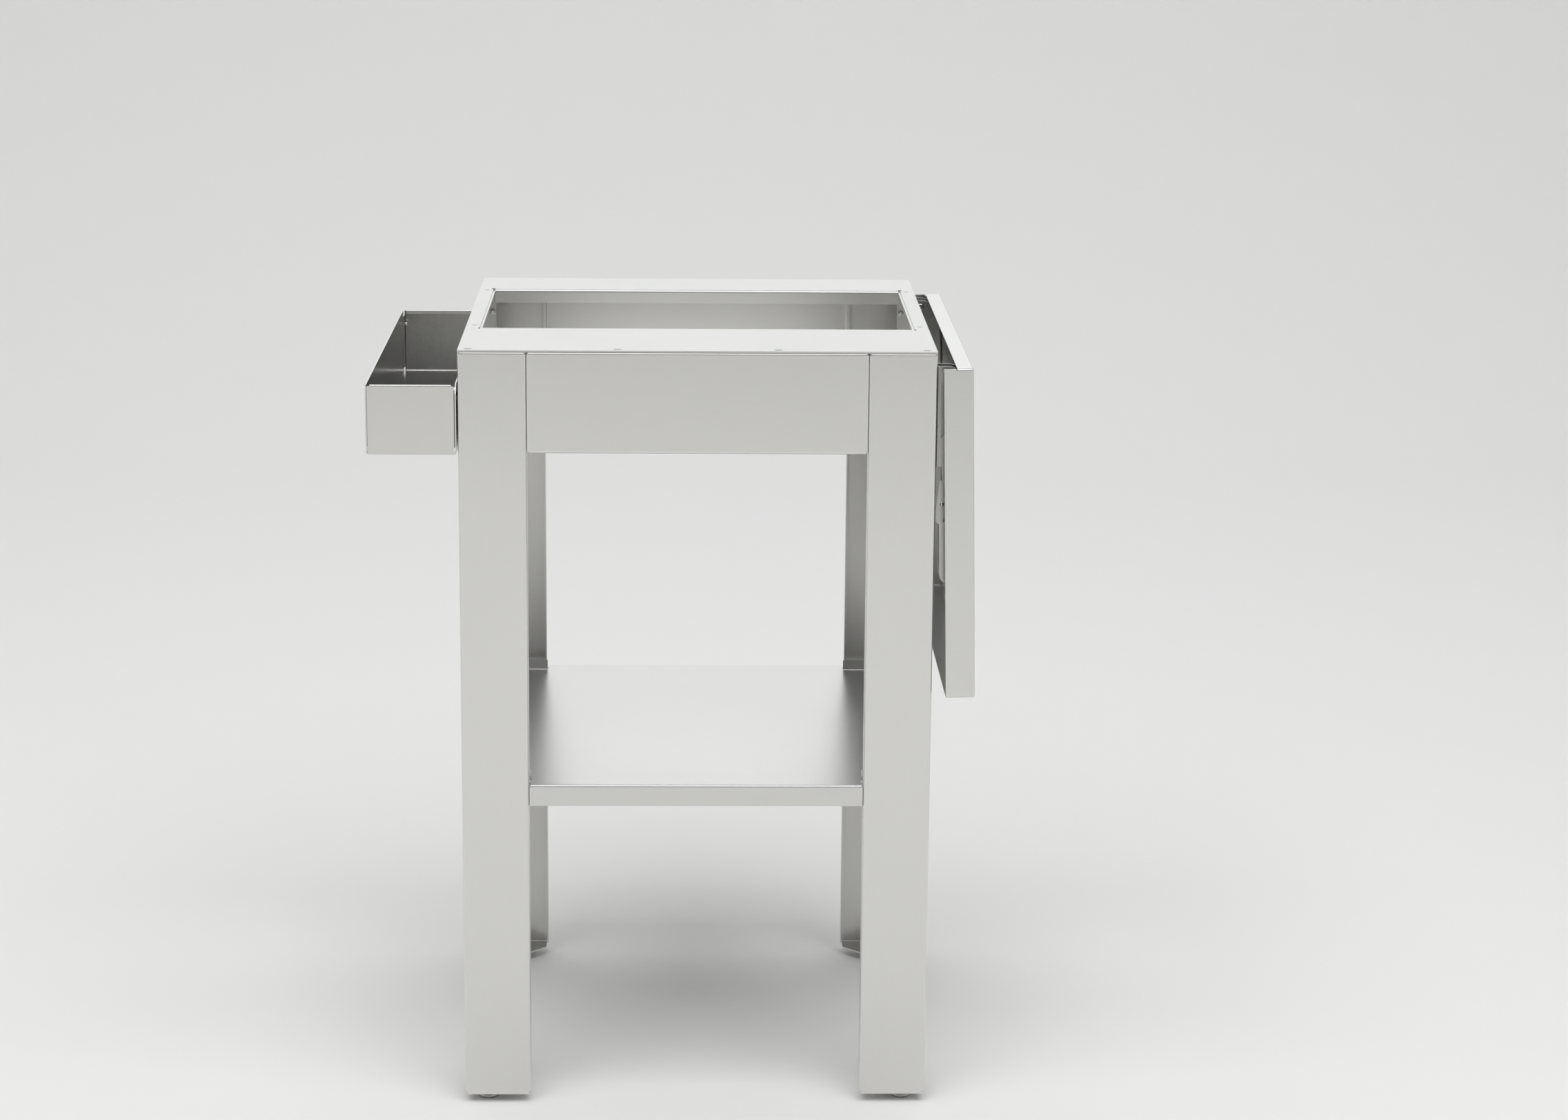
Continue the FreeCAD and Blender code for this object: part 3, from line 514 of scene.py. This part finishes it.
def blindRivetRows(half):
    r = blindRivet
    shank, head, bulge = r["shank"], r["head"], r["bulge"]
    end = max(half)
    seat = end - r["dome"]
    inner = seat - r["grip"]
    below, waist = r["waist"]
    rows = [(-end, 0.0)] + [(rise - end, shank * share) for rise, share in r["tail"]]
    rows += [(r["swell"] - end, bulge), (inner - r["swell"], bulge), (inner - below, shank * waist)]
    rows += [(inner, shank), (seat, shank), (seat, head)]
    rows += [(seat + rise, head * share) for rise, share in r["crown"]]
    rows += [(end - depth, head * share) for depth, share in r["dimple"]]
    return rows + [(end - r["stem"], 0.0)]


turnedGroup("trayRivets", "tray_rivets", blindRivetRows, fromTrayMiddle, blindRivet["sides"])

# Pins across the brackets: the hinge pins have two heads, the others have peened ends
crossPin = {
    "radius": 0.003, "head": 0.0045, "headHeight": 0.0015, "peen": 0.0004,
    "dimple": ((0.0003, 0.0), (0.0002, 0.0008)),         # depth and radius
    "headDimple": 0.0014, "endDimple": 0.0013,           # radius of the dimple's rim
    "headFlat": 0.72, "headRound": 0.93,                 # shares of the head
    "sides": 32,
}


def pinDimple(end):
    return [(end - depth, radius) for depth, radius in crossPin["dimple"]]


def bothEnds(rows):
    return [(-height, radius) for height, radius in rows] + rows[::-1]


def headedPinRows(half):
    p = crossPin
    end, head, peen = half.y, p["head"], p["peen"]
    seat = end - p["headHeight"]
    rows = pinDimple(end) + [(end, p["headDimple"]), (end, head * p["headFlat"])]
    rows += [(end - peen, head * p["headRound"]), (end - 2 * peen, head), (seat, head), (seat, p["radius"])]
    return bothEnds(rows)


def plainPinRows(half):
    p = crossPin
    end, radius, peen = half.y, p["radius"], p["peen"]
    return bothEnds(pinDimple(end) + [(end, p["endDimple"]), (end, radius - peen), (end - peen, radius)])


for place in ("front", "rear"):
    for kind, rowsFor in (("hinge", headedPinRows), ("strut", plainPinRows), ("guide", plainPinRows)):
        turnedGroup(kind + "Pin" + place.title(), kind + "_pin_" + place, rowsFor, rearward,
                    crossPin["sides"])

leverRivet = {
    "shank": 0.0015, "lead": 0.0002, "leadShare": 0.8, "head": 0.0024, "dome": 0.0010,
    "crown": ((0.0003, 0.95), (0.0007, 0.7)),            # height over the seat, share of the head
    "flat": 0.35, "sides": 36,
}


def leverRivetRows(half):
    r = leverRivet
    shank, head = r["shank"], r["head"]
    end = half.y
    seat = end - r["dome"]
    rows = [(-end, 0.0), (-end, shank * r["leadShare"]), (r["lead"] - end, shank)]
    rows += [(seat, shank), (seat, head)]
    rows += [(seat + rise, head * share) for rise, share in r["crown"]]
    return rows + [(end, head * r["flat"]), (end, 0.0)]


turnedGroup("leverRivets", "lever_rivets", leverRivetRows, toFrontOrRear, leverRivet["sides"])
print("turned pieces made")


# Studio: a pale paper floor that sweeps up all round, far away at the front; wide soft lamps over the
# floor ahead, a soft wall of light behind and a lamp on the sweep
studio = {
    "floor": (0.80, 0.80, 0.79),
    "fibre": 40.0,
    "fibreNoise": (2.0, 0.55),          # detail and roughness of the noise
    "paperRough": (0.82, 0.9),
    "paperShine": 0.1,
    "halfWidth": 6.5,
    "back": 4.8,
    "front": -40.0,
    "cornerRadius": 3.0,
    "sweepRadius": 1.6,
    "sweepTop": 6.0,
    "steps": 12,                        # faces to a quarter turn
    "world": (0.93, 0.94, 0.95),
    "worldStrength": 0.08,
    "lamps": [
        {"name": "overLamp", "at": (0, -4.7, 6.4), "aim": (0, -4.7, 0), "size": (9.0, 7.0), "watts": 430.0,
         "colour": (1, 1, 1), "mirrored": True},
        {"name": "floorLamp", "at": (0, -4.7, 6.5), "aim": (0, -4.7, 0), "size": (9.0, 7.0), "watts": 190.0,
         "colour": (1, 1, 1), "mirrored": False},        # lights the floor and adds no glare to the steel
        {"name": "rearLamp", "at": (0, 4.5, 2.95), "aim": (0, 0, 1.95), "size": (8.0, 3.4), "watts": 59.0,
         "colour": (0.955, 0.982, 1), "mirrored": True},
        {"name": "sweepLamp", "at": (0, 1.4, 5.0), "aim": (0, 3.4, 0), "size": (6.0, 2.0), "watts": 60.0,
         "colour": (0.98, 0.99, 1), "mirrored": True},
    ],
}


def paperFinish():
    finish, start = newFinish("studioPaper")
    place = start.node("TexCoord", out="Object")
    fibre = place.noise(studio["fibre"], *studio["fibreNoise"])
    rough = fibre.between(*studio["paperRough"])
    closeFinish(start, {"Base Color": studio["floor"] + (1,), "Roughness": rough,
                        "Specular IOR Level": studio["paperShine"]})
    return finish


def makeFloor():
    mesh = bpy.data.meshes.new("studioFloor")
    floor = bpy.data.objects.new("studioFloor", mesh)
    bpy.context.scene.collection.objects.link(floor)
    corner, radius, steps = studio["cornerRadius"], studio["sweepRadius"], studio["steps"]
    right, back, front = studio["halfWidth"] - corner, studio["back"] - corner, studio["front"] + corner
    plan = []                                            # points of the wall, each with its way outward
    for quarter, (x, y) in enumerate(((right, back), (-right, back), (-right, front), (right, front))):
        for step in range(steps + 1):
            angle = math.radians(90 * (quarter + step / steps))
            out = (math.cos(angle), math.sin(angle))
            plan.append(((x + corner * out[0], y + corner * out[1]), out))
    rise = []                                            # how far inside the wall, and how high
    for step in range(steps + 1):
        angle = math.radians(90 * step / steps)
        rise.append((radius * (1 - math.sin(angle)), radius * (1 - math.cos(angle))))
    rise.append((0.0, studio["sweepTop"]))
    corners = [(x - out[0] * inward, y - out[1] * inward, height)
               for inward, height in rise for (x, y), out in plan]
    count = len(plan)
    faces = [tuple(range(count))]
    for row in range(0, len(corners) - count, count):
        for here in range(count):
            after = (here + 1) % count
            faces.append((row + here, row + here + count, row + after + count, row + after))
    mesh.from_pydata(corners, [], faces)
    for face in mesh.polygons:
        face.use_smooth = True
    mesh.materials.append(paperFinish())


def makeLamps():
    for lamp in studio["lamps"]:
        data = bpy.data.lights.new(lamp["name"], "AREA")
        data.shape = "RECTANGLE"
        data.size, data.size_y = lamp["size"]
        data.energy = lamp["watts"]
        data.color = lamp["colour"]
        light = bpy.data.objects.new(lamp["name"], data)
        bpy.context.scene.collection.objects.link(light)
        light.visible_glossy = lamp["mirrored"]
        light.location = lamp["at"]
        ahead = Vector(lamp["aim"]) - Vector(lamp["at"])
        light.rotation_euler = ahead.to_track_quat("-Z", "Y").to_euler()


def makeAir():
    world = bpy.data.worlds.new("studioAir")
    bpy.context.scene.world = world
    world.use_nodes = True
    air = world.node_tree.nodes["Background"]
    air.inputs["Color"].default_value = studio["world"] + (1,)
    air.inputs["Strength"].default_value = studio["worldStrength"]


makeFloor()
makeLamps()
makeAir()
print("studio lit")

# Camera worked out from the stand's edges in the picture, which is 2273 by 1624
cameraView = {
    "at": (0.01570, -4.14678, 1.56761),
    "focal": 5073.549,          # in pixels
    "frame": (2273, 1624),
    "centreUp": 36.64,          # optical axis above the middle of the frame, in pixels
    "down": 12.793,             # angles in degrees
    "right": 1.632,
    "roll": 0.535,
    "sensor": 36.0,             # width in millimetres
    "clipEnd": 100,
}


def makeCamera():
    down, right, roll = (math.radians(cameraView[key]) for key in ("down", "right", "roll"))
    ahead = Vector((math.sin(right) * math.cos(down), math.cos(right) * math.cos(down), -math.sin(down)))
    across = Vector((math.cos(right), -math.sin(right), 0))
    up = across.cross(ahead)
    rolledAcross = across * math.cos(roll) + up * math.sin(roll)
    rolledUp = up * math.cos(roll) - across * math.sin(roll)
    data = bpy.data.cameras.new("viewCamera")
    camera = bpy.data.objects.new("viewCamera", data)
    bpy.context.scene.collection.objects.link(camera)
    turn = Matrix((rolledAcross, rolledUp, -ahead)).transposed().to_4x4()
    camera.matrix_world = Matrix.Translation(cameraView["at"]) @ turn
    frameWidth = cameraView["frame"][0]
    data.sensor_fit = "HORIZONTAL"
    data.sensor_width = cameraView["sensor"]
    data.lens = cameraView["focal"] / frameWidth * data.sensor_width
    data.shift_y = -cameraView["centreUp"] / frameWidth
    data.clip_end = cameraView["clipEnd"]
    bpy.context.scene.camera = camera


makeCamera()
bpy.context.scene.view_settings.view_transform = "Standard"
print("camera placed")
